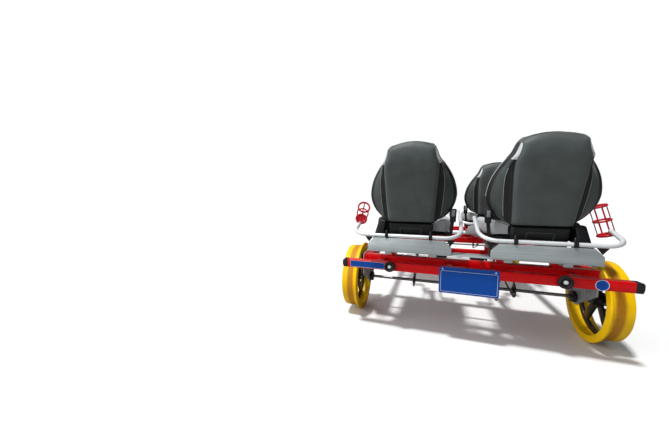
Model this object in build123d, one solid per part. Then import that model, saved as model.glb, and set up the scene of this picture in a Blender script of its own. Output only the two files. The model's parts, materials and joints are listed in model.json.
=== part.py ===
from build123d import *
import math
import os

os.makedirs("parts", exist_ok=True)

# Four-seat pedal rail bike: a welded square-tube frame on two rail axles, with two rows of two
# reclined bucket seats, one crank set ahead of each seat and a chain from each crank to an axle.
# Millimetres. X to the right, Y ahead, Z up from the lowest point of the wheel flanges.
# Everything is placed from the middle of the two bumpers and is centred on its box at the end.

# Overall
bumper_spread = 2600
wheelbase = 1880
row_pitch = 1100

# Wheels and axles
tread_radius = 232
flange_height = 22
flange_inner_x = 676
wheel_width = 114
flange_width = 16
rim_wall = 18
tread_taper = 3
centre_inset = 54
centre_thickness = 22
centre_ring = 26
spoke_count = 5
spoke_width = 48
hub_radius = 46
hub_length = 76
shaft_radius = 10
axle_z = tread_radius + flange_height

# Frame tubes
tube_side = 50
tube_wall = 3
rail_x = 605
frame_z = 445
end_beam_inset = 155
bumper_z = 427
bumper_half = 706
cap_length = 38
cap_chamfer = 12
cap_spigot = 25
cap_clearance = 0.2
stub_width = 46
stub_places = (-500, -100, 100, 500)
buffer_inset = 270
buffer_radius = 33
buffer_depth = 22

# Bearings that carry the axles
plate_thickness = 8
plate_top_width = 430
plate_drop = 95
plate_foot = 48
bearing_radius = 34
bearing_width = 22
running_clearance = 0.05

# Seat supports
shelf_half = 570
shelf_depth = 94
shelf_thickness = 6
shelf_z = 524
runner_width = 40
runner_height = 25
runner_spread = 260
runner_set = 50
support_beam_gap = 400
slide_height = 26
slide_width = 30
slide_length = 400

# Back plates and grab rails behind each seat
panel_half = 235
panel_margin = 5
panel_z0 = 530
panel_z1 = 608
panel_chamfer = 38
panel_thickness = 3
bar_rear = 26
bar_z = 622
bar_radius = 11
bar_wall = 2
bar_inner_x = 45
bar_outer_x = 662
bar_bend = 90
outer_arm_reach = 166
outer_arm_rise = 58
inner_arm_reach = 206
inner_arm_rise = 108
clamp_width = 18
clamp_wrap = 4
clamp_foot = 30
clamp_lip = 1
clamp_spread = 247
gusset_drop = 32
gusset_width = 48
gusset_thickness = 6

# Seats, one at each side of the middle
seat_x = 320
seat_z = 713
recline = 14
back_half = 243
back_half_z = 125
back_wing_foot = 135
back_wing_foot_z = -25
shoulder_half = 152
shoulder_z = 345
corner_half = 130
corner_z = 405
back_apex_z = 443
pad_half = 146
pad_round = 16
pad_foot_z = 4
pad_turn = 26
recess_depth = 46
recess_width = 26
seam_half = 226
wing_depth = 80
shell_depth = 60
top_roll = 48
waist_half = 124
waist_drop = 105
waist_set = 22
waist_depth = 40
cushion_gap = 0.3
cushion_depth = 32
bolster_depth = 152
bolster_inner = 150
bolster_foot = 115
cushion_foot_z = 6
hinge_plate = 6
hinge_reach = 40
seat_rear = 104
pan_z0 = shelf_z + slide_height
pan_height = 84
pan_sheet = 10
pan_half = 222
pan_front_gap = 10
pan_web = 5
brace_plate = 6
brace_rear = 2
brace_foot = 84
brace_knee_z = 575
brace_front = 230
brace_top_rear = 52
brace_top_front = 285
seat_depth = 440
seat_half = 232
seat_cushion_height = 62
seat_bolster_rise = 26
seat_bolster_top = 32
seat_bolster_slope = 30
seat_edge = 14

# Pedal drive
crank_ahead = 840
crank_x = 267.5
crank_z = 390
crank_length = 165
arm_width = 28
arm_thickness = 14
arm_x = 68
spindle_radius = 9
shell_radius = 21
shell_width = 68
boom_width = 40
boom_height = 38
ring_x = 42.5
ring_teeth = 44
ring_width = 4
sprocket_teeth = 18
chain_pitch = 12.7
chain_width = 8
chain_height = 9
chain_clearance = 0.5
tooth_height = 4
pedal_width = 92
pedal_length = 88
pedal_height = 24
pedal_pin = 6

# Brake
disc_radius = 82
disc_thickness = 3
disc_gap = 5
disc_hat = 24
disc_hat_wall = 14
calliper_width = 40
calliper_length = 46
calliper_bite = 32
calliper_back = 14
calliper_arm = 6

# Small pieces
cage_radius = 38
cage_height = 168
cage_wall = 4
cage_ribs = 4
cage_rib_width = 12
cage_rings = (0, 12, 78, 88, 156)
cage_lean = -18
cage_side = 6
cage_drop = 30
# Tilt back of the cages, rear row first, right one first: the rear left one is turned on its arm
cage_tilts = ((0, 55), (0, 0))
sign_width = 305
sign_height = 152
sign_x = 0
sign_z = 379
sign_thickness = 2
strip_gap = 18
strip_length = 219
strip_height = 40
number_inset = 125
number_radius = 27
label_thickness = 1.5
tow_radius = 8
tow_width = 12
tow_depth = 40
tow_drop = 62
tow_rise = 22

# Places worked out from the values above
half_tube = tube_side / 2
buffer_x = bumper_half - buffer_inset
bumper_y = bumper_spread / 2 - half_tube
beam_y = bumper_spread / 2 - end_beam_inset
axle_y = wheelbase / 2
bar_y = -bumper_spread / 2 - bar_rear
frame_top = frame_z + half_tube
frame_bottom = frame_z - half_tube
sides = (-1, 1)
rows = (0, row_pitch)
chain_x = crank_x + ring_x
panel_x = shelf_half - panel_margin - panel_half
disc_x = seat_x - runner_spread / 2 + calliper_width / 2
pan_top = pan_z0 + pan_height
ring_radius = chain_pitch / 2 / math.sin(math.pi / ring_teeth)
sprocket_radius = chain_pitch / 2 / math.sin(math.pi / sprocket_teeth)
shelf_top = shelf_z + shelf_thickness

nodes = {}


def block(x0, x1, y0, y1, z0, z1):
    """A box from its six faces."""
    size = Box(abs(x1 - x0), abs(y1 - y0), abs(z1 - z0))
    return Pos((x0 + x1) / 2, (y0 + y1) / 2, (z0 + z1) / 2) * size


def round_x(x0, x1, y, z, radius):
    """A cylinder that lies along X."""
    return Pos((x0 + x1) / 2, y, z) * Rot(0, 90, 0) * Cylinder(radius, abs(x1 - x0))


def round_y(y0, y1, x, z, radius):
    """A cylinder that lies along Y."""
    return Pos(x, (y0 + y1) / 2, z) * Rot(90, 0, 0) * Cylinder(radius, abs(y1 - y0))


def tube_along_x(half, y, z):
    outer = block(-half, half, y - half_tube, y + half_tube, z - half_tube, z + half_tube)
    inner = half_tube - tube_wall
    return outer - block(-half, half, y - inner, y + inner, z - inner, z + inner)


def tube_along_y(x, y0, y1, z):
    outer = block(x - half_tube, x + half_tube, y0, y1, z - half_tube, z + half_tube)
    inner = half_tube - tube_wall
    return outer - block(x - inner, x + inner, y0, y1, z - inner, z + inner)


def mirrored(shape):
    """The same piece at the other side of the bike."""
    return mirror(shape, about=Plane.YZ)


def both_ends(shape):
    """A piece at the rear and its mirror image at the front."""
    return [shape, mirror(shape, about=Plane.XZ)]


def ring_points(radius, places):
    return [(radius * math.cos(a), radius * math.sin(a)) for a in places]


def toothed_disc(teeth, width):
    """A sprocket with one flat-topped tooth for each link, centred on the X axis."""
    pitch_radius = chain_pitch / 2 / math.sin(math.pi / teeth)
    root = pitch_radius - tooth_height
    tip = pitch_radius + tooth_height / 2
    step = 2 * math.pi / teeth
    outline = []
    for k in range(teeth):
        middle = k * step
        outline += ring_points(root, (middle - 0.38 * step,))
        outline += ring_points(tip, (middle - 0.12 * step, middle + 0.12 * step))
        outline += ring_points(root, (middle + 0.38 * step,))
    face = make_face(Polyline(*outline, close=True))
    return Rot(0, 90, 0) * extrude(face, width / 2, both=True)


def make_frame():
    inner_y = beam_y - half_tube
    nodes["side_rails"] = [tube_along_y(s * rail_x, -inner_y, inner_y, frame_z) for s in sides]
    rail_outer = rail_x + half_tube
    rail_inner = rail_x - half_tube
    nodes["end_beams"] = [tube_along_x(rail_outer, s * beam_y, frame_z) for s in sides]
    places = (-beam_y + support_beam_gap, -beam_y + row_pitch, -beam_y + row_pitch + support_beam_gap)
    nodes["cross_beams"] = [tube_along_x(rail_inner, y, frame_z) for y in places]
    nodes["bumpers"] = [tube_along_x(bumper_half, s * bumper_y, bumper_z) for s in sides]
    low = max(frame_z, bumper_z) - half_tube
    high = min(frame_z, bumper_z) + half_tube
    stubs = []
    for x in stub_places:
        y0 = -bumper_y + half_tube
        stub = block(x - stub_width / 2, x + stub_width / 2, y0, -beam_y - half_tube, low, high)
        stubs += both_ends(stub)
    nodes["bumper_stubs"] = stubs


def make_bumper_ends():
    end = bumper_half + cap_length
    cap = block(bumper_half, end, -bumper_y - half_tube, -bumper_y + half_tube,
                bumper_z - half_tube, bumper_z + half_tube)
    cap = chamfer(cap.faces().sort_by(Axis.X)[-1].edges(), cap_chamfer)
    inner = half_tube - tube_wall - cap_clearance
    cap += block(bumper_half - cap_spigot, bumper_half, -bumper_y - inner, -bumper_y + inner,
                 bumper_z - inner, bumper_z + inner)
    nodes["bumper_caps"] = both_ends(cap) + both_ends(mirrored(cap))
    face = -bumper_spread / 2
    profile = make_face(Polyline((0, 0), (buffer_radius, 0), (buffer_radius, -buffer_depth * 0.55),
                                 (buffer_radius * 0.86, -buffer_depth * 0.8),
                                 (buffer_radius * 0.6, -buffer_depth * 0.8),
                                 (buffer_radius * 0.5, -buffer_depth), (0, -buffer_depth), close=True))
    pad = revolve(Rot(90, 0, 0) * Rot(-90, 0, 0) * profile, Axis.Y)
    pads = []
    for s in sides:
        pads += both_ends(Pos(s * buffer_x, face, bumper_z) * pad)
    nodes["buffers"] = pads


def make_bearings():
    x0 = rail_x + half_tube
    half = plate_top_width / 2
    corner_z0 = frame_bottom - plate_drop
    angle = math.radians(35)
    side = (plate_foot * math.cos(angle), axle_z - plate_foot * math.sin(angle))
    low = (0, axle_z - plate_foot)
    outline = [
        Line((-half, frame_top), (half, frame_top)),
        Line((half, frame_top), (half, corner_z0)),
        Line((half, corner_z0), side),
        ThreePointArc(side, low, (-side[0], side[1])),
        Line((-side[0], side[1]), (-half, corner_z0)),
        Line((-half, corner_z0), (-half, frame_top)),
    ]
    face = Plane.YZ * make_face(outline)
    plate = Pos(x0, -axle_y, 0) * extrude(face, plate_thickness)
    bore = round_x(x0 - bearing_width, x0 + plate_thickness, -axle_y, axle_z,
                   shaft_radius + running_clearance)
    housing = round_x(x0 - bearing_width, x0, -axle_y, axle_z, bearing_radius)
    nodes["bearing_plates"] = both_ends(plate - bore) + both_ends(mirrored(plate - bore))
    nodes["bearings"] = both_ends(housing - bore) + both_ends(mirrored(housing - bore))


def make_axle(name, y):
    """One rail axle: shaft, two flanged wheels on spoked centres, two chain sprockets."""
    far = flange_inner_x + wheel_width
    middle = flange_inner_x + centre_inset + centre_thickness / 2
    hub_end = middle + hub_length / 2
    flange_radius = tread_radius + flange_height
    bore = tread_radius - rim_wall
    fx = flange_inner_x
    profile = [
        (fx, bore), (fx, flange_radius - 5), (fx + 5, flange_radius),
        (fx + flange_width - 5, flange_radius), (fx + flange_width, flange_radius - 9),
        (fx + flange_width + 3, tread_radius), (far - 4, tread_radius - tread_taper),
        (far, tread_radius - tread_taper - 4), (far, bore),
    ]
    rim = revolve(make_face(Polyline(*profile, close=True)), Axis.X)
    rim = Pos(0, y, axle_z) * rim
    nodes[name + "_wheel_rims"] = [rim, mirrored(rim)]
    x0 = middle - centre_thickness / 2
    x1 = middle + centre_thickness / 2
    inner = bore - centre_ring
    centre = round_x(x0, x1, 0, 0, bore) - round_x(x0, x1, 0, 0, inner)
    hub = round_x(middle - hub_length / 2, hub_end, 0, 0, hub_radius)
    reach = (inner + hub_radius) / 2
    for k in range(spoke_count):
        spoke = block(x0 + 3, x1 - 3, -spoke_width / 2, spoke_width / 2, hub_radius - 10, bore - 5)
        centre += Rot(k * 360 / spoke_count, 0, 0) * spoke
    centre += hub
    centre -= round_x(middle - hub_length, hub_end + 1, 0, 0, shaft_radius)
    centre = Pos(0, y, axle_z) * centre
    nodes[name + "_wheel_centres"] = [centre, mirrored(centre)]
    nodes[name + "_shaft"] = [round_x(-hub_end, hub_end, y, axle_z, shaft_radius)]
    disc = toothed_disc(sprocket_teeth, ring_width)
    disc += round_x(-9, 9, 0, 0, shaft_radius + 10)
    disc -= round_x(-10, 10, 0, 0, shaft_radius)
    nodes[name + "_sprockets"] = [Pos(s * chain_x, y, axle_z) * disc for s in sides]


def make_brake():
    """A disc on the rear axle, and a calliper over its top that hangs from a seat runner."""
    disc = round_x(disc_x - disc_thickness / 2, disc_x + disc_thickness / 2, -axle_y, axle_z, disc_radius)
    half_hat = disc_hat / 2
    disc += round_x(disc_x - half_hat, disc_x + half_hat, -axle_y, axle_z, shaft_radius + disc_hat_wall)
    disc -= round_x(disc_x - disc_hat, disc_x + disc_hat, -axle_y, axle_z, shaft_radius)
    nodes["brake_disc"] = [disc]
    half = calliper_width / 2
    y0 = -axle_y - calliper_length / 2
    y1 = -axle_y + calliper_length / 2
    z0 = axle_z + disc_radius - calliper_bite
    z1 = axle_z + disc_radius + calliper_back
    body = block(disc_x - half, disc_x + half, y0, y1, z0, z1)
    slot = disc_thickness / 2 + disc_gap
    body -= block(disc_x - slot, disc_x + slot, y0 - 1, y1 + 1, z0 - 1, axle_z + disc_radius + disc_gap)
    arm_x0 = disc_x - half - calliper_arm / 2
    runner_bottom = shelf_z - runner_height
    arm = block(arm_x0, arm_x0 + calliper_arm, y0, y1, z1, runner_bottom)
    arm += block(arm_x0, disc_x + half, y0, y1, z1, z1 + calliper_arm)
    nodes["calliper"] = [body]
    nodes["calliper_bracket"] = [arm]


def make_seat_supports():
    shelves, runners, risers, slides = [], [], [], []
    for row in rows:
        rear = -bumper_spread / 2 - bar_rear - bar_radius + panel_thickness + row
        beam = -beam_y + row
        front = beam + support_beam_gap
        shelves.append(block(-shelf_half, shelf_half, rear, rear + shelf_depth, shelf_z, shelf_top))
        for s in sides:
            for t in sides:
                x = s * seat_x + t * runner_spread / 2
                runners.append(block(x - runner_width / 2, x + runner_width / 2, rear + runner_set,
                                     front + half_tube, shelf_z - runner_height, shelf_z))
                for y in (beam, front):
                    risers.append(block(x - half_tube, x + half_tube, y - half_tube, y + half_tube,
                                        frame_top, shelf_z - runner_height))
                y0 = rear + shelf_depth + 6
                slides.append(block(x - slide_width / 2, x + slide_width / 2, y0, y0 + slide_length,
                                    shelf_z, pan_z0))
    nodes["seat_shelves"] = shelves
    nodes["seat_runners"] = runners
    nodes["seat_risers"] = risers
    nodes["seat_slides"] = slides


def make_grab_rails():
    panels, clamps, gussets = [], [], []
    for n, row in enumerate(rows):
        y = bar_y + row
        rear = y - bar_radius
        mid = (bar_inner_x + bar_outer_x) / 2
        route = FilletPolyline(
            (bar_inner_x - 7, y + inner_arm_reach, bar_z + inner_arm_rise),
            (bar_inner_x, y, bar_z),
            (bar_outer_x, y, bar_z),
            (bar_outer_x, y + outer_arm_reach, bar_z + outer_arm_rise),
            radius=bar_bend)
        start = Plane(route @ 0, z_dir=route % 0)
        rail = sweep(start * Circle(bar_radius), path=route)
        rail -= sweep(start * Circle(bar_radius - bar_wall), path=route)
        nodes[("rear", "front")[n] + "_grab_rails"] = [rail, mirrored(rail)]
        half = panel_half
        centre = panel_x
        outline = Polyline((-half, panel_z0), (half, panel_z0), (half, panel_z1 - panel_chamfer),
                           (half - panel_chamfer, panel_z1), (-half + panel_chamfer, panel_z1),
                           (-half, panel_z1 - panel_chamfer), close=True)
        sheet = Plane.XZ * extrude(make_face(outline), panel_thickness)
        panel = Pos(centre, rear + panel_thickness, 0) * sheet
        panels += [panel, mirrored(panel)]
        for t in sides:
            x = centre + t * clamp_spread / 2
            w = clamp_width / 2
            near = rear + panel_thickness
            far = y + bar_radius + clamp_wrap
            lip = panel_z1 + clamp_lip
            foot = block(x - w, x + w, near, far, panel_z1 - clamp_foot, lip)
            head = block(x - w, x + w, rear - clamp_wrap, far, lip, bar_z + bar_radius + clamp_wrap)
            clamp = foot + head - round_x(x - w, x + w, y, bar_z, bar_radius)
            clamps += [clamp, mirrored(clamp)]
            x = centre + t * (panel_half - 4)
            g = gusset_width / 2
            z = bar_z - bar_radius
            wedge = make_face(Polyline((x - g, z), (x + g, z), (x, z - gusset_drop), close=True))
            gusset = Pos(0, y + gusset_thickness, 0) * (Plane.XZ * extrude(wedge, gusset_thickness))
            gussets += [gusset, mirrored(gusset)]
    nodes["back_plates"] = panels
    nodes["rail_clamps"] = clamps
    nodes["rail_gussets"] = gussets


def back_outline(inset, foot):
    """A seat back seen from behind: wings that bulge, sloped shoulders and a rounded top."""
    half = back_half - inset
    wing_foot = (back_wing_foot - inset, back_wing_foot_z + foot)
    widest = (half, back_half_z)
    low = (half - 28, back_half_z * 0.26)
    shoulder = (shoulder_half - inset, shoulder_z)
    high = ((half + shoulder_half - inset) / 2 + 20, (back_half_z + shoulder_z) / 2 + 7)
    corner = (corner_half - inset, corner_z - inset / 2)
    crown = (corner[0] - 24, corner_z + 21 - inset)
    bend = (corner[0] - 7, corner_z + 14 - inset * 0.8)
    right = [
        ThreePointArc(wing_foot, low, widest),
        ThreePointArc(widest, high, shoulder),
        Line(shoulder, corner),
        ThreePointArc(corner, bend, crown),
    ]
    top = ThreePointArc(crown, (0, back_apex_z - inset), (-crown[0], crown[1]))
    left = [mirror(edge, about=Plane.YZ) for edge in right]
    bottom = Line((-wing_foot[0], wing_foot[1]), wing_foot)
    return make_face(right + [top] + left + [bottom])


def back_side_view(foot):
    """Side view of a seat back: the rear face rolls forward at its foot and over its top."""
    front = bolster_depth + pad_round
    outline = [
        Line((front, foot), (recess_depth, foot)),
        ThreePointArc((recess_depth, foot), (pad_turn * 0.4, pad_foot_z + pad_turn * 0.3), (0, pad_foot_z + pad_turn)),
        Line((0, pad_foot_z + pad_turn), (0, shoulder_z)),
        ThreePointArc((0, shoulder_z), (top_roll * 0.27, corner_z), (top_roll, back_apex_z)),
        Line((top_roll, back_apex_z), (shell_depth + cushion_depth, back_apex_z)),
        ThreePointArc((shell_depth + cushion_depth, back_apex_z), (front - 34, corner_z - 20), (front, shoulder_z - 60)),
        Line((front, shoulder_z - 60), (front, foot)),
    ]
    return make_face(outline)


def half_plan(points):
    """A closed plan from the points of its right half, rear first and front last."""
    return make_face(Polyline(*points, *[(-x, y) for x, y in reversed(points)], close=True))


def make_seat_backs():
    side = pad_half + 4
    lip = wing_depth + 14
    shell_plan = half_plan([
        (pad_half - pad_round, 0), (pad_half - pad_round * 0.3, pad_round * 0.3), (pad_half, pad_round),
        (side, recess_depth), (side + recess_width, recess_depth + 8), (seam_half, wing_depth),
        (seam_half + 6, wing_depth + 8), (seam_half, lip), (side + recess_width, shell_depth + 12),
        (side - 6, shell_depth),
    ])
    front = shell_depth + cushion_gap
    pad_plan = half_plan([
        (side - 6, front), (side + recess_width, front + 12), (seam_half, lip + cushion_gap),
        (back_half, bolster_depth - 38), (back_half - 4, bolster_depth - 14), (seam_half - 4, bolster_depth),
        (seam_half - 24, bolster_depth - 5), (bolster_inner, bolster_foot),
        (bolster_inner - 40, front + cushion_depth),
    ])
    low = back_wing_foot_z - 5
    tall = back_apex_z - low + 10
    across = 2 * back_half
    shell = extrude(Pos(0, 0, low) * shell_plan, tall)
    shell &= Plane.XZ * extrude(back_outline(0, 0), across, both=True)
    shell &= Plane.YZ * extrude(back_side_view(back_wing_foot_z), across, both=True)
    pad = extrude(Pos(0, 0, low) * pad_plan, tall)
    pad &= Plane.XZ * extrude(back_outline(3, cushion_foot_z - back_wing_foot_z), across, both=True)
    pad &= Plane.YZ * extrude(back_side_view(cushion_foot_z), across, both=True)
    waist = block(-waist_half, waist_half, waist_set, waist_set + waist_depth,
                  -waist_drop, back_wing_foot_z - cushion_gap)
    waist = fillet(waist.edges().filter_by(Axis.Z), 12)
    shells, pads, hinges, waists = [], [], [], []
    for row in rows:
        place = Pos(seat_x, bar_y + row, seat_z) * Rot(recline, 0, 0)
        shells += [place * shell, mirrored(place * shell)]
        pads += [place * pad, mirrored(place * pad)]
        waists += [place * waist, mirrored(place * waist)]
        face = waist_set + waist_depth
        foot = (place * Pos(0, face, -waist_drop)).position
        head = (place * Pos(0, face, -hinge_reach)).position
        pan_y = bar_y + seat_rear + row
        side = make_face(Polyline((foot.Y, foot.Z), (head.Y, head.Z), (pan_y, pan_top),
                                  (pan_y, pan_top - pan_sheet), close=True))
        for t in sides:
            x = seat_x + t * (waist_half - 2 * hinge_plate)
            plate = Pos(x - hinge_plate / 2, 0, 0) * extrude(Plane.YZ * side, hinge_plate)
            hinges += [plate, mirrored(plate)]
    nodes["back_shells"] = shells
    nodes["back_cushions"] = pads
    nodes["back_bases"] = waists
    nodes["back_hinges"] = hinges


def make_seat_bottoms():
    """A tray on two webs, a sloped brace at each side of its rear, and the cushion on top."""
    z1 = pan_top + seat_cushion_height
    rise = seat_bolster_rise
    half = seat_half
    flat = half - seat_edge - seat_bolster_top
    outline = Polyline((-half + 10, pan_top), (half - 10, pan_top), (half, pan_top + 20),
                       (half, z1 + rise - 12), (half - seat_edge, z1 + rise), (flat, z1 + rise),
                       (flat - seat_bolster_slope, z1), (-flat + seat_bolster_slope, z1),
                       (-flat, z1 + rise), (-half + seat_edge, z1 + rise), (-half, z1 + rise - 12),
                       (-half, pan_top + 20), close=True)
    pad = Plane.XZ * extrude(make_face(outline), -seat_depth)
    pad = chamfer(pad.faces().sort_by(Axis.Y)[-1].edges().sort_by(Axis.Z)[-5:], 18)
    length = seat_depth - pan_front_gap
    pan = block(-pan_half, pan_half, 0, length, pan_top - pan_sheet, pan_top)
    for t in sides:
        x = t * runner_spread / 2
        for u in sides:
            web = x + u * (slide_width - pan_web) / 2
            pan += block(web - pan_web / 2, web + pan_web / 2, 6, slide_length, pan_z0, pan_top - pan_sheet)
    under = pan_top - pan_sheet
    brace = make_face(Polyline((brace_rear, shelf_top), (brace_foot, shelf_top), (brace_foot + 12, brace_knee_z),
                               (brace_front, brace_knee_z), (brace_top_front, under), (brace_top_rear, under),
                               (brace_rear, brace_knee_z), close=True))
    brace = Pos(-brace_plate / 2, 0, 0) * extrude(Plane.YZ * brace, brace_plate)
    pads, pans, braces = [], [], []
    for row in rows:
        place = Pos(seat_x, bar_y + seat_rear + row, 0)
        pads += [place * pad, mirrored(place * pad)]
        pans += [place * pan, mirrored(place * pan)]
        for t in sides:
            plate = Pos(seat_x + t * (pan_half - brace_plate / 2), bar_y + row, 0) * brace
            braces += [plate, mirrored(plate)]
    nodes["seat_cushions"] = pads
    nodes["seat_pans"] = pans
    nodes["seat_braces"] = braces


def make_drive():
    posts, chains = [], []
    arms_out = arm_x + arm_thickness
    for n, row in enumerate(rows):
        y = bar_y + crank_ahead + row
        beam_front = -beam_y + support_beam_gap + row + half_tube
        rear_face = Plane((crank_x, beam_front, frame_z), x_dir=(1, 0, 0), z_dir=(0, 1, 0))
        front_face = Plane((crank_x, y, crank_z), x_dir=(1, 0, 0), z_dir=(0, 1, 0))
        boom = loft([rear_face * Rectangle(boom_width, boom_height),
                     front_face * Rectangle(boom_width, boom_height - 8)], ruled=True)
        half = shell_width / 2
        post = boom + round_x(crank_x - half, crank_x + half, y, crank_z, shell_radius)
        post -= round_x(crank_x - half - 1, crank_x + half + 1, y, crank_z, spindle_radius + running_clearance)
        posts += [post, mirrored(post)]
        sprocket_y = axle_y * (-1, 1)[n]
        chain = chain_loop(y, crank_z, sprocket_y, axle_z)
        chains += [Pos(s * chain_x, 0, 0) * chain for s in sides]
        crank = round_x(-arms_out, arms_out, 0, 0, spindle_radius)
        crank += Pos(ring_x, 0, 0) * toothed_disc(ring_teeth, ring_width)
        window = round_x(ring_x - 5, ring_x + 5, 0, 0, ring_radius - 16)
        crank -= window - round_x(-arms_out, arms_out, 0, 0, spindle_radius)
        for k in range(5):
            leg = block(ring_x - ring_width / 2, ring_x + ring_width / 2, -9, 9, 0, ring_radius - 12)
            crank += Rot(k * 72, 0, 0) * leg
        crank += round_x(ring_x - ring_width / 2, ring_x + ring_width / 2, 0, 0, 26)
        for t in sides:
            x0 = t * arm_x
            x1 = t * arms_out
            arm = round_x(x0, x1, 0, 0, arm_width / 2 + 3)
            arm += round_x(x0, x1, t * crank_length, 0, arm_width / 2)
            arm += block(x0, x1, 0, t * crank_length, -arm_width / 2 + 2, arm_width / 2 - 2)
            crank += arm
            crank += round_x(t * arms_out, t * (arms_out + 10 + pedal_width), t * crank_length, 0, pedal_pin)
        for s, side in ((-1, "left"), (1, "right")):
            whole = crank if s == 1 else mirrored(crank)
            nodes[("rear_", "front_")[n] + side + "_crank"] = [Pos(s * crank_x, y, crank_z) * whole]
            for t, place in ((-1, "left"), (1, "right")):
                pedal = make_pedal(t * (arms_out + 10 + pedal_width / 2))
                centre = Pos(s * crank_x, y + t * s * crank_length, crank_z)
                nodes[("rear_", "front_")[n] + side + "_pedal_" + place] = [centre * pedal]
    nodes["crank_booms"] = posts
    nodes["chains"] = chains


def make_pedal(x):
    w = pedal_width / 2
    d = pedal_length / 2
    h = pedal_height / 2
    body = block(x - w, x + w, -d, d, -h, h)
    for t in sides:
        body -= block(x - w + 10, x + w - 10, t * (pedal_pin + 8), t * (d - 10), -h - 1, h + 1)
    body = chamfer(body.edges().filter_by(Axis.Z).group_by(SortBy.LENGTH)[-1].sort_by_distance((x, 0, 0))[-4:], 10)
    return body - round_x(x - w - 1, x + w + 1, 0, 0, pedal_pin + running_clearance)


def chain_loop(y0, z0, y1, z1):
    """A closed band round the chain ring and the sprocket, just clear of their teeth."""
    r0 = ring_radius + tooth_height / 2 + chain_clearance
    r1 = sprocket_radius + tooth_height / 2 + chain_clearance
    outer = hull_of_circles(y0, z0, r0 + chain_height, y1, z1, r1 + chain_height)
    inner = hull_of_circles(y0, z0, r0, y1, z1, r1)
    band = outer - inner
    return Plane.YZ * extrude(band, chain_width / 2, both=True)


def hull_of_circles(y0, z0, r0, y1, z1, r1):
    """Two discs with their outer tangents."""
    run = math.hypot(y1 - y0, z1 - z0)
    along = math.atan2(z1 - z0, y1 - y0)
    turn = math.acos((r0 - r1) / run)
    a = along + turn
    b = along - turn
    p0 = (y0 + r0 * math.cos(a), z0 + r0 * math.sin(a))
    p1 = (y1 + r1 * math.cos(a), z1 + r1 * math.sin(a))
    q0 = (y0 + r0 * math.cos(b), z0 + r0 * math.sin(b))
    q1 = (y1 + r1 * math.cos(b), z1 + r1 * math.sin(b))
    far0 = (y0 - r0 * math.cos(along), z0 - r0 * math.sin(along))
    far1 = (y1 + r1 * math.cos(along), z1 + r1 * math.sin(along))
    return make_face([Line(p0, p1), ThreePointArc(p1, far1, q1), Line(q1, q0), ThreePointArc(q0, far0, p0)])


def make_cages():
    """Open ribbed bottle holders, one on the end of each outer arm, that lean towards the seat."""
    cages = []
    ring = Cylinder(cage_radius, cage_height) - Cylinder(cage_radius - cage_wall, cage_height)
    cup = Pos(0, 0, cage_height / 2) * ring
    cup += Pos(0, 0, cage_wall / 2) * Cylinder(cage_radius, cage_wall)
    half = math.pi * cage_radius / cage_ribs - cage_rib_width / 2
    for low, high in (cage_rings[1:3], cage_rings[3:5]):
        for k in range(cage_ribs):
            window = block(0, cage_radius + 5, -half, half, low, high)
            cup -= Rot(0, 0, (k + 0.5) * 360 / cage_ribs) * window
    slope = math.atan2(outer_arm_rise, outer_arm_reach)
    for row, tilts in zip(rows, cage_tilts):
        tip = Pos(bar_outer_x + cage_side, bar_y + outer_arm_reach + row, bar_z + outer_arm_rise)
        for s, tilt in zip((1, -1), tilts):
            clear = cage_radius + bar_radius * abs(math.sin(math.radians(tilt) - slope))
            cage = tip * Rot(tilt, 0, 0) * Pos(0, clear, -cage_drop) * Rot(0, cage_lean, 0) * cup
            cages.append(cage if s == 1 else mirrored(cage))
    nodes["bottle_cages"] = cages


def make_labels():
    face = -bumper_spread / 2
    z = sign_height / 2
    nodes["sign"] = [block(sign_x - sign_width / 2, sign_x + sign_width / 2, face - sign_thickness, face,
                           sign_z - z, sign_z + z)]
    start = -bumper_half + strip_gap
    nodes["side_strip"] = [block(start, start + strip_length, face - label_thickness, face,
                                 bumper_z - strip_height / 2, bumper_z + strip_height / 2)]
    x = bumper_half - number_inset
    nodes["number_disc"] = [round_y(face - label_thickness, face, x, bumper_z, number_radius)]


def make_tow_tabs():
    w = tow_width / 2
    z0 = bumper_z - half_tube
    d = tow_depth / 2
    tab = block(-w, w, -bumper_y - d, -bumper_y + d, z0 - tow_drop, z0)
    tab -= round_x(-w - 1, w + 1, -bumper_y, z0 - tow_drop + tow_rise, tow_radius)
    nodes["tow_tabs"] = both_ends(tab)


make_frame()
make_bumper_ends()
make_bearings()
make_axle("rear", -axle_y)
make_axle("front", axle_y)
make_brake()
make_seat_supports()
make_grab_rails()
make_seat_backs()
make_seat_bottoms()
make_drive()
make_cages()
make_labels()
make_tow_tabs()

box = Compound([solid for solids in nodes.values() for shape in solids for solid in shape.solids()]).bounding_box()
centred = Pos(0, -(box.min.Y + box.max.Y) / 2, 0)
print("moved by", -(box.min.Y + box.max.Y) / 2, "box", box.min, box.max)
for name, solids in nodes.items():
    whole = Compound([centred * solid for shape in solids for solid in shape.solids()])
    export_step(whole, "parts/" + name + ".step")
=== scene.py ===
import json
import math

import bmesh
import bpy
from mathutils import Matrix, Vector


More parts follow.
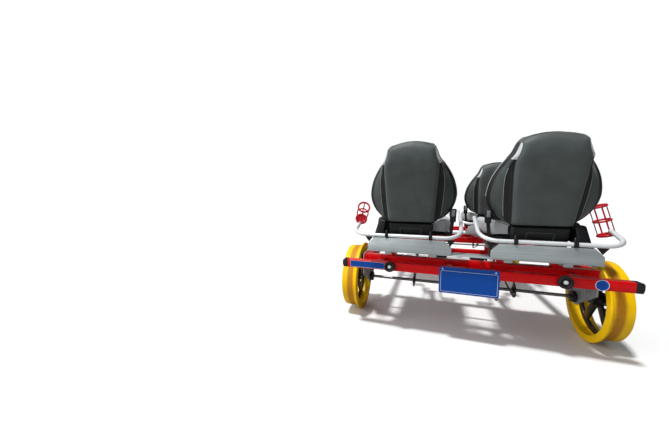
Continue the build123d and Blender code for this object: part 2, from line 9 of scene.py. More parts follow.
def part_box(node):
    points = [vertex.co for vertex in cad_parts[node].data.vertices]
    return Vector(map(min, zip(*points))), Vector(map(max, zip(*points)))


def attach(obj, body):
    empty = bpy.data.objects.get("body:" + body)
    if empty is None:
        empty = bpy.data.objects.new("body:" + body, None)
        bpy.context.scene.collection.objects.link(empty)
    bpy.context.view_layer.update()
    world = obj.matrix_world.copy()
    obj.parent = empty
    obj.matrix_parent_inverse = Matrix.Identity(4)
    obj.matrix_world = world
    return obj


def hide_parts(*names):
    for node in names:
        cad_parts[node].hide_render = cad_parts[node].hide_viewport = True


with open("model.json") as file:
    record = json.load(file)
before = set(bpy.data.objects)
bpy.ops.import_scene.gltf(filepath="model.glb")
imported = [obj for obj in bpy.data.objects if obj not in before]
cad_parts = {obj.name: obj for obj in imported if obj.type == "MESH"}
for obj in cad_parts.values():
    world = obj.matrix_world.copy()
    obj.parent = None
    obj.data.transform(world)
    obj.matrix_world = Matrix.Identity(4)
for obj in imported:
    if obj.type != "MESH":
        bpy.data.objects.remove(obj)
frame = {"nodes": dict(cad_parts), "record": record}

scene = bpy.context.scene
nodes = frame["nodes"]
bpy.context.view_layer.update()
print("frame loaded,", len(nodes), "nodes")

sideNames = {-1: "Left", 1: "Right"}
rootBody = "root"


# places read from the frame: the axles, and the centre line of the grab rail behind each row

grabRadius = 0.011


def middleOf(name, axis):
    low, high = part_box(name)
    return (low[axis] + high[axis]) / 2


axlePlaces = {end: middleOf(end + "_shaft", 1) for end in ("rear", "front")}
axleHeight = middleOf("rear_shaft", 2)
rowPlaces = {row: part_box(row + "_grab_rails")[0].y + grabRadius for row in ("rear", "front")}


# small helpers for meshes

def newObject(name, data):
    obj = bpy.data.objects.new(name, data)
    scene.collection.objects.link(obj)
    return obj


def meshFrom(name, verts, faces=()):
    mesh = bpy.data.meshes.new(name)
    mesh.from_pydata([tuple(v) for v in verts], [], faces)
    mesh.update()
    return newObject(name, mesh)


def fromBmesh(name, bm):
    mesh = bpy.data.meshes.new(name)
    bm.to_mesh(mesh)
    bm.free()
    return newObject(name, mesh)


def addModifier(obj, kind, **values):
    modifier = obj.modifiers.new(kind.title(), kind)
    for key, value in values.items():
        setattr(modifier, key, value)
    return modifier


def applyModifiers(obj):
    # turns the evaluated object into its plain mesh
    graph = bpy.context.evaluated_depsgraph_get()
    graph.update()
    mesh = bpy.data.meshes.new_from_object(obj.evaluated_get(graph), depsgraph=graph)
    obj.modifiers.clear()
    obj.data = mesh
    return obj


def breakEdges(obj, width, segments, angle):
    addModifier(obj, "BEVEL", width=width, segments=segments, limit_method="ANGLE",
                angle_limit=math.radians(angle))
    return applyModifiers(obj)


def smoothByAngle(obj, degrees):
    mesh = obj.data
    mesh.polygons.foreach_set("use_smooth", [True] * len(mesh.polygons))
    mesh.set_sharp_from_angle(angle=math.radians(degrees))
    mesh.update()
    return obj


def setMaterials(obj, *materials):
    if len(obj.data.materials):  # clearing also sets every face back to the first material
        obj.data.materials.clear()
    for material in materials:
        obj.data.materials.append(material)


def dress(obj, body, slotName, *materials, replaced=()):
    # a finished piece: its materials, its body and the nodes it stands for; slotName is not used
    setMaterials(obj, *materials)
    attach(obj, body)
    if replaced:
        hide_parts(*replaced)


def facedOut(bm):
    bmesh.ops.recalc_face_normals(bm, faces=bm.faces)
    return bm


def roundSteps(count):
    # cosine and sine at even steps round a circle
    turns = [2 * math.pi * k / count for k in range(count)]
    return [(math.cos(a), math.sin(a)) for a in turns]


def bridge(bm, here, there, shift=0):
    # a band of faces between two closed rows of as many points
    count = len(here)
    pairs = [(i, (i + 1) % count) for i in range(count)]
    return [bm.faces.new((here[i], here[j], there[(j + shift) % count], there[(i + shift) % count]))
            for i, j in pairs]


def newRings(bm, rings):
    return [[bm.verts.new(p) for p in ring] for ring in rings]


def stack(bm, rings):
    # bands through rings of points, and one face across each end
    rings = newRings(bm, rings)
    for here, there in zip(rings, rings[1:]):
        bridge(bm, here, there)
    bm.faces.new(list(reversed(rings[0])))
    bm.faces.new(rings[-1])


def lathe(profile, centre, axis="X", steps=96):
    # closed profile of (along, radius) turned about an axis through centre
    bm = bmesh.new()
    x, y, z = centre
    if axis == "X":
        rings = [[(x + along, y + r * a, z + r * b) for along, r in profile] for a, b in roundSteps(steps)]
    else:
        rings = [[(x + r * a, y + along, z + r * b) for along, r in profile] for a, b in roundSteps(steps)]
    rings = newRings(bm, rings)
    for here, there in zip(rings, rings[1:] + rings[:1]):
        bridge(bm, here, there)
    bmesh.ops.remove_doubles(bm, verts=bm.verts, dist=1e-5)
    return facedOut(bm)


def block(bottom, top, matrix, rounding=0.0, segments=1):
    # a block from the x span, y span and z of its foot and of its head
    bm = bmesh.new()
    stack(bm, [((x0, y0, z), (x1, y0, z), (x1, y1, z), (x0, y1, z))
               for (x0, x1), (y0, y1), z in (bottom, top)])
    if rounding:
        bmesh.ops.bevel(bm, geom=list(bm.edges), offset=rounding, segments=segments, affect="EDGES",
                        profile=0.5)
    bmesh.ops.transform(bm, matrix=matrix, verts=bm.verts)
    return facedOut(bm)


def roundedPlan(x0, x1, z0, z1, radius, inset=0.0):
    # a rectangle with rounded corners, anticlockwise seen from behind
    more = inset + radius
    points = []
    for x, z, start in ((x1 - more, z1 - more, 0), (x0 + more, z1 - more, 90), (x0 + more, z0 + more, 180),
                        (x1 - more, z0 + more, 270)):
        for k in range(7):
            a = math.radians(start + 15 * k)
            points.append((x + radius * math.cos(a), z + radius * math.sin(a)))
    return points


def plate(outline, y0, y1, hole=None):
    # a flat plate between two values of y, with or without a hole of as many points
    bm = bmesh.new()
    spans = [[[(x, y, z) for x, z in plan] for y in (y0, y1)] for plan in (outline, hole or [])]
    if hole:
        outer, inner = (newRings(bm, rings) for rings in spans)
        for here, there in (outer, inner, (outer[0], inner[0]), (outer[1], inner[1])):
            bridge(bm, here, there)
    else:
        stack(bm, spans[0])
    return facedOut(bm)


def tubeAlong(points, radius, steps, closed=False):
    # a round rod that follows points
    bm = bmesh.new()
    points = [Vector(p) for p in points]
    last = len(points) - 1
    rings = []
    side = points[0] * 0
    for k, point in enumerate(points):
        before = points[k - 1] if k or closed else point
        after = points[(k + 1) % len(points)] if k < last or closed else point
        tangent = (after - before).normalized()
        if k == 0:
            side = tangent.orthogonal().normalized()
        side = (side - tangent * side.dot(tangent)).normalized()
        up = tangent.cross(side)
        rings.append([point + radius * (side * a + up * b) for a, b in roundSteps(steps)])
    if closed:
        gaps = [(rings[-1][0] - p).length for p in rings[0]]
        rings = newRings(bm, rings)
        for here, there in zip(rings, rings[1:]):
            bridge(bm, here, there)
        bridge(bm, rings[-1], rings[0], gaps.index(min(gaps)))
    else:
        stack(bm, rings)
    return facedOut(bm)


def joined(name, parts):
    # one object from several meshes, each with its material number, or None to keep its own
    whole = bmesh.new()
    for number, part in parts:
        if number is not None:
            for face in part.faces:
                face.material_index = number
        mesh = bpy.data.meshes.new("part")
        part.to_mesh(mesh)
        part.free()
        whole.from_mesh(mesh)
        bpy.data.meshes.remove(mesh)
    return fromBmesh(name, whole)


# small helpers for node trees

def feed(tree, made, inputs):
    for key, value in inputs.items():
        if isinstance(value, bpy.types.NodeSocket):
            tree.links.new(value, made.inputs[key])
        else:
            made.inputs[key].default_value = value


def node(tree, kind, inputs=None, **values):
    made = tree.nodes.new(kind)
    for key, value in values.items():
        setattr(made, key, value)
    feed(tree, made, inputs or {})
    return made


def maths(tree, operation, *values):
    return node(tree, "ShaderNodeMath", dict(enumerate(values)), operation=operation).outputs[0]


def noise(tree, place, scale, detail, roughness=0.5):
    inputs = {"Vector": place, "Scale": scale, "Detail": detail, "Roughness": roughness}
    return node(tree, "ShaderNodeTexNoise", inputs).outputs[0]


def rangeOf(tree, value, low, high, fromLow=0.0, fromHigh=1.0):
    inputs = {"Value": value, 1: fromLow, 2: fromHigh, 3: low, 4: high}
    return node(tree, "ShaderNodeMapRange", inputs).outputs[0]


def mixColour(tree, factor, first, second):
    return node(tree, "ShaderNodeMix", {0: factor, 6: first, 7: second}, data_type="RGBA").outputs[2]


def bump(tree, height, strength, depth):
    inputs = {"Height": height, "Strength": strength, "Distance": depth}
    return node(tree, "ShaderNodeBump", inputs).outputs[0]


# shader groups, each used by more than one finish

scuffLook = dict(detail=6.0, roughness=0.65, finer=9.0, fineDetail=3.0, least=0.72, spread=0.4, full=0.8)
brushedLook = dict(detail=2.0, blotchScale=7.0, blotchDetail=4.0)
grainTone = dict(scale=14.0, detail=5.0)


def startGroup(name, **inputs):
    group = bpy.data.node_groups.new(name, "ShaderNodeTree")
    for label, value in inputs.items():
        socket = group.interface.new_socket(label, in_out="INPUT", socket_type="NodeSocketFloat")
        socket.default_value = value
    into = group.nodes.new("NodeGroupInput").outputs
    return group, into, node(group, "ShaderNodeTexCoord").outputs["Object"]


def endGroup(group, **outputs):
    for label in outputs:
        group.interface.new_socket(label, in_out="OUTPUT", socket_type="NodeSocketFloat")
    feed(group, group.nodes.new("NodeGroupOutput"), outputs)
    return group


def buildScuff():
    # blotches and fine specks, for dust, rubbed paint and uneven gloss
    look = scuffLook
    group, into, place = startGroup("scuffMask", Scale=12, Amount=0.5)
    big = noise(group, place, into["Scale"], look["detail"], look["roughness"])
    fine = noise(group, place, maths(group, "MULTIPLY", into["Scale"], look["finer"]), look["fineDetail"])
    low = maths(group, "SUBTRACT", look["least"], maths(group, "MULTIPLY", into["Amount"], look["spread"]))
    return endGroup(group, Mask=rangeOf(group, big, 0.0, 1.0, low, look["full"]), Fine=fine)


def buildBrushed():
    # fine straight scratches along X, as left by the rolling mill
    look = brushedLook
    group, into, place = startGroup("brushedLines", Along=3, Across=900)
    stretch = node(group, "ShaderNodeCombineXYZ", {0: into["Along"], 1: into["Across"], 2: into["Across"]})
    scaled = node(group, "ShaderNodeVectorMath", {0: place, 1: stretch.outputs[0]}, operation="MULTIPLY")
    lines = noise(group, scaled.outputs[0], 1.0, look["detail"])
    return endGroup(group, Lines=lines, Blotch=noise(group, place, look["blotchScale"], look["blotchDetail"]))


def buildGrain():
    # pebbled grain of coated cloth and moulded plastic
    group, into, place = startGroup("pebbleGrain", Scale=700)
    cells = node(group, "ShaderNodeTexVoronoi", {"Vector": place, "Scale": into["Scale"]}, feature="F1")
    return endGroup(group, Height=cells.outputs["Distance"], Tone=noise(group, place, **grainTone))


scuffGroup = buildScuff()
brushedGroup = buildBrushed()
grainGroup = buildGrain()


# the tree that sets one piece in many places

def buildPlacer():
    # on every point of a mesh, its Z along "outward", its X along "onward"
    group = bpy.data.node_groups.new("placePieces", "GeometryNodeTree")
    for label, kind in dict(Points="Geometry", Piece="Object", Size="Float", Finish="Material").items():
        group.interface.new_socket(label, in_out="INPUT", socket_type="NodeSocket" + kind)
    group.interface.new_socket("Pieces", in_out="OUTPUT", socket_type="NodeSocketGeometry")
    into = group.nodes.new("NodeGroupInput").outputs
    ways = [node(group, "GeometryNodeInputNamedAttribute", {"Name": label}, data_type="FLOAT_VECTOR")
            for label in ("outward", "onward")]
    upright = node(group, "FunctionNodeAlignRotationToVector", {"Vector": ways[0].outputs["Attribute"]},
                   axis="Z")
    turned = node(group, "FunctionNodeAlignRotationToVector",
                  {"Rotation": upright.outputs[0], "Vector": ways[1].outputs["Attribute"]},
                  axis="X", pivot_axis="Z")
    piece = node(group, "GeometryNodeObjectInfo", {"Object": into["Piece"]})
    size = node(group, "ShaderNodeCombineXYZ", {i: into["Size"] for i in range(3)})
    placed = node(group, "GeometryNodeInstanceOnPoints",
                  {"Points": into["Points"], "Instance": piece.outputs["Geometry"],
                   "Rotation": turned.outputs[0], "Scale": size.outputs[0]})
    real = node(group, "GeometryNodeRealizeInstances", {"Geometry": placed.outputs[0]})
    painted = node(group, "GeometryNodeSetMaterial",
                   {"Geometry": real.outputs[0], "Material": into["Finish"]})
    feed(group, group.nodes.new("NodeGroupOutput"), {"Pieces": painted.outputs[0]})
    return group


placerGroup = buildPlacer()


def setPieces(name, piece, places, material, body, slotName, size=1.0, replaced=()):
    # each place: point, outward, onward
    points, outward, onward = zip(*places)
    obj = meshFrom(name, points)
    for label, ways in (("outward", outward), ("onward", onward)):
        layer = obj.data.attributes.new(label, "FLOAT_VECTOR", "POINT")
        layer.data.foreach_set("vector", [c for way in ways for c in way])
    modifier = addModifier(obj, "NODES", node_group=placerGroup)
    sockets = {item.name: item.identifier for item in placerGroup.interface.items_tree}
    for label, value in (("Piece", piece), ("Size", size), ("Finish", material)):
        modifier[sockets[label]] = value
    dress(smoothByAngle(applyModifiers(obj), 35), body, slotName, material, replaced=replaced)


# finishes

paintLook = dict(fade=0.35, fadeRange=(0.35, 0.75), wear=0.45, rougher=0.3, specular=0.22,
                 coatRoughness=0.12, bump=0.12, depth=0.0006)
metalLook = dict(lineRange=(0.3, 0.7), blotch=0.5, blotchRange=(0.4, 0.7), gloss=(-0.08, 0.12),
                 glossRange=(0.3, 0.7), depth=0.0004)
grainLook = dict(toneRange=(0.3, 0.72), gloss=(-0.06, 0.08), glossRange=(0.3, 0.7), specular=0.32,
                 sheenRoughness=0.4, depth=0.0006)


def startMaterial(name):
    material = bpy.data.materials.new(name)
    material.use_nodes = True
    return material, material.node_tree, material.node_tree.nodes["Principled BSDF"]


def useGroup(tree, group, **inputs):
    return node(tree, "ShaderNodeGroup", inputs, node_tree=group).outputs


def srgb(*levels):
    shares = [level / 255 for level in levels]
    return tuple(c / 12.92 if c <= 0.04045 else ((c + 0.055) / 1.055) ** 2.4 for c in shares) + (1.0,)


def paintFinish(name, colour, worn, roughness, coat, scale=9, amount=0.35):
    look = paintLook
    material, tree, shader = startMaterial(name)
    mask, fine = useGroup(tree, scuffGroup, Scale=scale, Amount=amount)
    faded = mixColour(tree, rangeOf(tree, fine, 0.0, look["fade"], *look["fadeRange"]), colour, worn)
    feed(tree, shader, {
        "Base Color": mixColour(tree, maths(tree, "MULTIPLY", mask, look["wear"]), faded, worn),
        "Roughness": rangeOf(tree, mask, roughness, roughness + look["rougher"]),
        "Specular IOR Level": look["specular"],
        "Coat Weight": coat,
        "Coat Roughness": look["coatRoughness"],
        "Normal": bump(tree, fine, look["bump"], look["depth"])})
    return material


def metalFinish(name, colour, dark, roughness, along, across, metallic=1.0, strength=0.25):
    look = metalLook
    material, tree, shader = startMaterial(name)
    lines, blotch = useGroup(tree, brushedGroup, Along=along, Across=across)
    tone = mixColour(tree, rangeOf(tree, lines, 0.0, 1.0, *look["lineRange"]), dark, colour)
    duller, rougher = look["gloss"]
    feed(tree, shader, {
        "Base Color": mixColour(tree, rangeOf(tree, blotch, 0.0, look["blotch"], *look["blotchRange"]),
                                tone, colour),
        "Roughness": rangeOf(tree, blotch, roughness + duller, roughness + rougher, *look["glossRange"]),
        "Metallic": metallic,
        "Normal": bump(tree, lines, strength, look["depth"])})
    return material


def grainFinish(name, colour, light, roughness, scale, strength, sheen=0.0):
    look = grainLook
    material, tree, shader = startMaterial(name)
    height, tone = useGroup(tree, grainGroup, Scale=scale)
    smoother, rougher = look["gloss"]
    feed(tree, shader, {
        "Base Color": mixColour(tree, rangeOf(tree, tone, 0.0, 1.0, *look["toneRange"]), colour, light),
        "Roughness": rangeOf(tree, tone, roughness + smoother, roughness + rougher, *look["glossRange"]),
        "Specular IOR Level": look["specular"],
        "Sheen Weight": sheen,
        "Sheen Roughness": look["sheenRoughness"],
        "Normal": bump(tree, height, strength, look["depth"])})
    return material


treadLook = dict(inner=0.703, innerFull=0.714, outerFull=0.744, outer=0.757, radius=0.2255, edge=0.003,
                 wobble=0.012, wear=0.85, fade=0.7, roughness=(0.42, 0.55), specular=0.25, bump=0.2,
                 depth=0.0006, clean=(srgb(255, 204, 0), srgb(230, 166, 6)),
                 worn=(srgb(208, 132, 22), srgb(160, 96, 20)))


def treadFinish(end):
    # yellow moulding, worn to brown in a band where the rail runs
    look = treadLook
    material, tree, shader = startMaterial("treadYellow" + end.title())
    place = node(tree, "ShaderNodeTexCoord").outputs["Object"]
    x, y, z = node(tree, "ShaderNodeSeparateXYZ", {0: place}).outputs
    y = maths(tree, "SUBTRACT", y, axlePlaces[end])
    z = maths(tree, "SUBTRACT", z, axleHeight)
    squares = maths(tree, "ADD", maths(tree, "MULTIPLY", y, y), maths(tree, "MULTIPLY", z, z))
    mask, fine = useGroup(tree, scuffGroup, Scale=14, Amount=0.6)
    wobble = maths(tree, "MULTIPLY", maths(tree, "SUBTRACT", fine, 0.5), look["wobble"])
    out = maths(tree, "ADD", maths(tree, "ABSOLUTE", x), wobble)
    rise = rangeOf(tree, out, 0.0, 1.0, look["inner"], look["innerFull"])
    fall = rangeOf(tree, out, 1.0, 0.0, look["outerFull"], look["outer"])
    onTread = rangeOf(tree, maths(tree, "SQRT", squares), 0.0, 1.0, look["radius"],
                      look["radius"] + look["edge"])
    band = maths(tree, "MULTIPLY", maths(tree, "MULTIPLY", rise, fall), onTread)
    clean = mixColour(tree, rangeOf(tree, mask, 0.0, look["fade"]), *look["clean"])
    worn = mixColour(tree, fine, *look["worn"])
    feed(tree, shader, {
        "Base Color": mixColour(tree, maths(tree, "MULTIPLY", band, look["wear"]), clean, worn),
        "Roughness": rangeOf(tree, band, *look["roughness"]),
        "Specular IOR Level": look["specular"],
        "Normal": bump(tree, fine, look["bump"], look["depth"])})
    return material


redPaint = paintFinish("redPaint", srgb(226, 2, 10), srgb(176, 2, 8), 0.3, 0.1)
blackPaint = paintFinish("blackPaint", srgb(20, 20, 21), srgb(44, 42, 40), 0.4, 0.15)
blueSign = paintFinish("signBlue", srgb(6, 74, 164), srgb(4, 58, 134), 0.35, 0.08, 20, 0.2)
signLight = paintFinish("signLight", srgb(205, 214, 228), srgb(180, 190, 205), 0.35, 0.2)
tubeSteel = metalFinish("tubeSteel", srgb(238, 241, 242), srgb(216, 219, 220), 0.34, 40, 260, 0.3, 0.12)
shaftSteel = metalFinish("shaftSteel", srgb(150, 150, 150), srgb(96, 94, 92), 0.35, 30, 300)
aluminium = metalFinish("brushedAluminium", srgb(204, 211, 212), srgb(172, 181, 182), 0.42, 2.5, 700, 0.7)
zinc = metalFinish("dullZinc", srgb(172, 174, 174), srgb(138, 140, 141), 0.5, 60, 90, 0.35, 0.2)
chainSteel = metalFinish("chainSteel", srgb(92, 88, 84), srgb(52, 50, 47), 0.42, 90, 200)
vinylDark = grainFinish("vinylDark", srgb(70, 77, 75), srgb(82, 89, 87), 0.5, 900, 0.22, 0.15)
vinylWing = grainFinish("vinylWing", srgb(60, 66, 65), srgb(74, 81, 79), 0.52, 900, 0.22, 0.15)
vinylLight = grainFinish("vinylLight", srgb(206, 208, 210), srgb(190, 192, 195), 0.48, 900, 0.2, 0.1)
# black vinyl; on the seat backs it is also painted shade, in the recess beside the pad and on each wing's
# outer side
vinylBlack = grainFinish("vinylBlack", srgb(20, 21, 21), srgb(30, 31, 31), 0.5, 900, 0.2, 0.05)
buckleGrey = grainFinish("buckleGrey", srgb(112, 114, 120), srgb(134, 136, 142), 0.4, 1200, 0.1)
blackRubber = grainFinish("blackRubber", srgb(20, 20, 21), srgb(34, 33, 33), 0.62, 400, 0.25)
blackPlastic = grainFinish("blackPlastic", srgb(20, 20, 22), srgb(30, 30, 32), 0.46, 1400, 0.12)
plasticRim = grainFinish("plasticRim", srgb(46, 49, 48), srgb(58, 61, 60), 0.46, 1400, 0.12)
cageRed = grainFinish("cageRed", srgb(190, 16, 36), srgb(214, 34, 52), 0.3, 1600, 0.06)
treads = {end: treadFinish(end) for end in axlePlaces}
print("finishes made:", len(bpy.data.materials))


# camera and studio

cameraView = dict(x=-0.1977, z=0.8343, tubeToCamera=1.5996, yaw=20.273, pitch=-4.973, roll=0.2,
                  focalPixels=266.38, imageWidth=669, sensor=36.0, near=0.02, far=200)
studioLight = dict(skyColour=(0.84, 0.88, 0.92, 1), sky=(0.78, 0.03), skySpan=0.8, key=2.8, keyAngle=6,
                   keyWay=(0.2, 0.26, -0.94), fill=1.15, fillAngle=40, fillWay=(0.86, 0.46, -0.3),
                   floor=60, floorSeen=0.9, floorBounce=0.34, floorRoughness=0.9)


def makeCamera():
    c = cameraView
    yaw, pitch, roll = (math.radians(c[k]) for k in ("yaw", "pitch", "roll"))
    ahead = Vector((-math.sin(yaw) * math.cos(pitch), math.cos(yaw) * math.cos(pitch), math.sin(pitch)))
    level = Vector((math.cos(yaw), math.sin(yaw), 0))
    upright = level.cross(ahead)
    right = level * math.cos(roll) + upright * math.sin(roll)
    up = upright * math.cos(roll) - level * math.sin(roll)
    data = bpy.data.cameras.new("camera")
    data.sensor_width = c["sensor"]
    data.lens = c["sensor"] * c["focalPixels"] / c["imageWidth"]
    data.clip_start = c["near"]
    data.clip_end = c["far"]
    obj = newObject("camera", data)
    place = Vector((c["x"], rowPlaces["rear"] - c["tubeToCamera"], c["z"]))
    obj.matrix_world = Matrix.Translation(place) @ Matrix((right, up, -ahead)).transposed().to_4x4()
    scene.camera = obj


def makeStudio():
    # the sky dims from left to right, and the floor throws less light up than the camera sees on it
    light = studioLight
    world = bpy.data.worlds.new("studio")
    world.use_nodes = True
    scene.world = world
    tree = world.node_tree
    sky = tree.nodes["Background"]
    way = node(tree, "ShaderNodeSeparateXYZ", {0: node(tree, "ShaderNodeTexCoord").outputs["Generated"]})
    strength = rangeOf(tree, way.outputs[0], *light["sky"], -light["skySpan"], light["skySpan"])
    feed(tree, sky, {"Color": light["skyColour"], "Strength": strength})
    white = node(tree, "ShaderNodeBackground", {"Color": (1, 1, 1, 1), "Strength": 1.0})
    path = node(tree, "ShaderNodeLightPath").outputs
    seen = maths(tree, "MAXIMUM", path["Is Camera Ray"], path["Is Transmission Ray"])
    mix = node(tree, "ShaderNodeMixShader", {0: seen, 1: sky.outputs[0], 2: white.outputs[0]})
    tree.links.new(mix.outputs[0], tree.nodes["World Output"].inputs[0])
    for name in ("key", "fill"):
        data = bpy.data.lights.new(name, "SUN")
        data.energy = light[name]
        data.angle = math.radians(light[name + "Angle"])
        lamp = newObject(name, data)
        lamp.rotation_euler = Vector(light[name + "Way"]).to_track_quat("-Z", "Y").to_euler()
    half = light["floor"]
    floor = meshFrom("floor", [(-half, -half, 0), (half, -half, 0), (half, half, 0), (-half, half, 0)],
                     [(0, 1, 2, 3)])
    material, tree, shader = startMaterial("floorPale")
    bounce, pale = ((c, c, c * 0.99, 1) for c in (light["floorBounce"], light["floorSeen"]))
    looked = node(tree, "ShaderNodeLightPath").outputs["Is Camera Ray"]
    feed(tree, shader, {"Base Color": mixColour(tree, looked, bounce, pale),
                        "Roughness": light["floorRoughness"]})
    setMaterials(floor, material)
    scene.view_settings.view_transform = "Standard"


makeCamera()
makeStudio()
print("camera and studio placed")


# wheels: a turned rim with flange and tread on a spoked centre
# rim points count from the outer side and from their own radius, ring and hub from their middle

wheelSizes = dict(flangeRise=0.022, wall=0.018, steps=128,
                  flange=((-0.114, -0.007), (-0.112, -0.002), (-0.108, 0), (-0.103, -0.001),
                          (-0.0995, -0.006), (-0.0975, -0.016)),
                  tread=((-0.093, 0), (-0.084, -0.0006), (-0.008, -0.003), (-0.002, -0.0045), (0, -0.008)),
                  bore=((0, 0.003), (-0.003, 0), (-0.11, 0), (-0.114, 0)),
                  centreIn=0.049, ring=((0.011, 0), (0.009, -0.006), (0.009, -0.028)),
                  hub=((0.038, 0.0101), (0.038, 0.034), (0.034, 0.038), (0.015, 0.04), (0.009, 0.05)),
                  spokes=5, spokeHalf=0.026, spokeFoot=0.86, spokeThick=0.0072, spokeFrom=0.042,
                  spokeShort=0.012, edge=0.003, hubBoltCircle=0.064, hubBoltIn=0.0198)


def bothWays(x, half):
    return [(x - a, r) for a, r in half] + [(x + a, r) for a, r in reversed(half)]


def makeWheel(end, side):
    s = wheelSizes
    centre = (0, axlePlaces[end], axleHeight)
    low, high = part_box(end + "_wheel_rims")
    flange = (high.z - low.z) / 2
    tread = flange - s["flangeRise"]
    bore = tread - s["wall"]
    profile = [(side * (high.x + a), radius + r)
               for radius, points in ((flange, s["flange"]), (tread, s["tread"]), (bore, s["bore"]))
               for a, r in points]
    rim = fromBmesh(end + sideNames[side] + "Tread", lathe(profile, centre, steps=s["steps"]))
    dress(smoothByAngle(rim, 40), end + "_axle", "wheel_yellow", treads[end],
          replaced=(end + "_wheel_rims",) if side == 1 else ())
    x = side * (high.x - s["centreIn"])
    ring = [(a, bore + r) for a, r in s["ring"]]
    parts = [(0, lathe(bothWays(x, half), centre)) for half in (ring, s["hub"])]
    for k in range(s["spokes"]):
        place = Matrix.Translation(centre) @ Matrix.Rotation(2 * math.pi * k / s["spokes"], 4, "X")
        spans = [((x - s["spokeThick"], x + s["spokeThick"]), (-half, half), z) for half, z in (
            (s["spokeHalf"] * s["spokeFoot"], s["spokeFrom"]), (s["spokeHalf"], bore - s["spokeShort"]))]
        parts.append((0, block(*spans, place)))
    spokes = breakEdges(joined(end + sideNames[side] + "Spokes", parts), s["edge"], 2, 50)
    dress(smoothByAngle(spokes, 35), end + "_axle", "wheel_black", blackPaint,
          replaced=(end + "_wheel_centres",) if side == 1 else ())


for end in axlePlaces:
    for side in sideNames:
        makeWheel(end, side)
print("wheels made")


# plain rigid nodes: the same shape with broken edges

rigidEdges = dict(merge=2e-6, flat=1.5, segments=2, sharp=40, smooth=30)
rigidNodes = [
    ("side_rails", 0.003, redPaint), ("end_beams", 0.003, redPaint), ("cross_beams", 0.003, redPaint),
    ("bumpers", 0.004, redPaint), ("bumper_stubs", 0.002, redPaint), ("bumper_caps", 0.003, blackRubber),
    ("bearing_plates", 0.0015, zinc), ("bearings", 0.003, blackPaint), ("seat_shelves", 0.001, aluminium),
    ("seat_runners", 0.0015, aluminium), ("seat_risers", 0.002, redPaint), ("seat_slides", 0.001, zinc),
    ("back_plates", 0.0006, aluminium), ("rail_clamps", 0.0015, blackPlastic),
    ("rail_gussets", 0.001, blackPaint), ("back_hinges", 0.001, blackPaint),
    ("back_bases", 0.003, blackPlastic), ("seat_braces", 0.001, blackPaint),
    ("seat_pans", 0.002, blackPlastic), ("crank_booms", 0.002, redPaint), ("tow_tabs", 0.001, redPaint),
    ("calliper", 0.003, blackPaint), ("calliper_bracket", 0.001, redPaint), ("bottle_cages", 0.0012, cageRed),
]


def bevelledCopy(name, title, width):
    s = rigidEdges
    bm = bmesh.new()
    bm.from_mesh(nodes[name].data)
    bmesh.ops.remove_doubles(bm, verts=bm.verts, dist=s["merge"])
    bmesh.ops.dissolve_limit(bm, angle_limit=math.radians(s["flat"]), verts=bm.verts, edges=bm.edges)
    return smoothByAngle(breakEdges(fromBmesh(title, bm), width, s["segments"], s["sharp"]), s["smooth"])


def makeRigid():
    slots = {s["node"]: s["material_slot"] for s in frame["record"]["subparts"]}
    bodies = {n: b for b, members in frame["record"]["behaviour"]["bodies"].items() for n in members}
    for name, width, material in rigidNodes:
        first, *others = name.split("_")
        title = first + "".join(word.title() for word in others)
        dress(bevelledCopy(name, title, width), bodies[name], slots[name], material, replaced=(name,))


makeRigid()
keptNodes = {"rear_shaft": shaftSteel, "front_shaft": shaftSteel, "rear_sprockets": chainSteel,
             "front_sprockets": chainSteel, "brake_disc": shaftSteel, "rear_grab_rails": tubeSteel,
             "front_grab_rails": tubeSteel}
for name in nodes:
    if "crank" in name and name != "crank_booms" or "pedal" in name:
        keptNodes[name] = blackPaint
for name, material in keptNodes.items():
    setMaterials(nodes[name], material)
print("rigid pieces made")


# bolts, screws, plugs and knobs, each set in many places

smallSizes = dict(head=0.0064, headHeight=0.0045, washer=0.0098, washerHeight=0.0015, sunk=0.0005,
                  edge=0.0005, screw=(0.006, 0.0022), plug=(0.0111, 0.006), knob=(0.009, 0.02),
                  domeSunk=0.0006, dome=((0.3, 0.985), (0.62, 0.86), (0.88, 0.58), (1.0, 0.2)), steps=16)
bearingBolts = dict(side=((0.124, 0.066), (-0.124, 0.066), (0.044, 0.034), (-0.044, 0.034)),
                    top=(0.17, -0.17), railHeight=0.445, inner=0.63, outer=0.638)
clampSizes = dict(middle=0.33, spread=0.1235, height=0.6215, top=0.637, back=0.015, bolt=0.72)
tubeEnds = dict(inner=(0.038, 0.206, 0.730), innerWay=(-0.007, 0.206, 0.108),
                outer=(0.662, 0.166, 0.680), outerWay=(0, 0.166, 0.058))


def rodInto(bm, x, low, high, radius, steps):
    # an upright cylinder
    bmesh.ops.create_cone(bm, cap_ends=True, segments=steps, radius1=radius, radius2=radius,
                          depth=high - low, matrix=Matrix.Translation((x, 0, (low + high) / 2)))


def boltPiece():
    s = smallSizes
    bm = bmesh.new()
    rodInto(bm, 0, -s["sunk"], s["washerHeight"], s["washer"], 18)
    rodInto(bm, 0, s["washerHeight"], s["washerHeight"] + s["headHeight"], s["head"], 6)
    return breakEdges(fromBmesh("boltPiece", bm), s["edge"], 1, 40)


def domePiece(name):
    radius, height = smallSizes[name]
    levels = [(-smallSizes["domeSunk"], 1.0)] + [(height * rise, share) for rise, share in smallSizes["dome"]]
    bm = bmesh.new()
    stack(bm, [[(radius * share * a, radius * share * b, z) for a, b in roundSteps(smallSizes["steps"])]
               for z, share in levels])
    return fromBmesh(name + "Piece", bm)


bolt = boltPiece()
screw, plug, knob = (domePiece(name) for name in ("screw", "plug", "knob"))


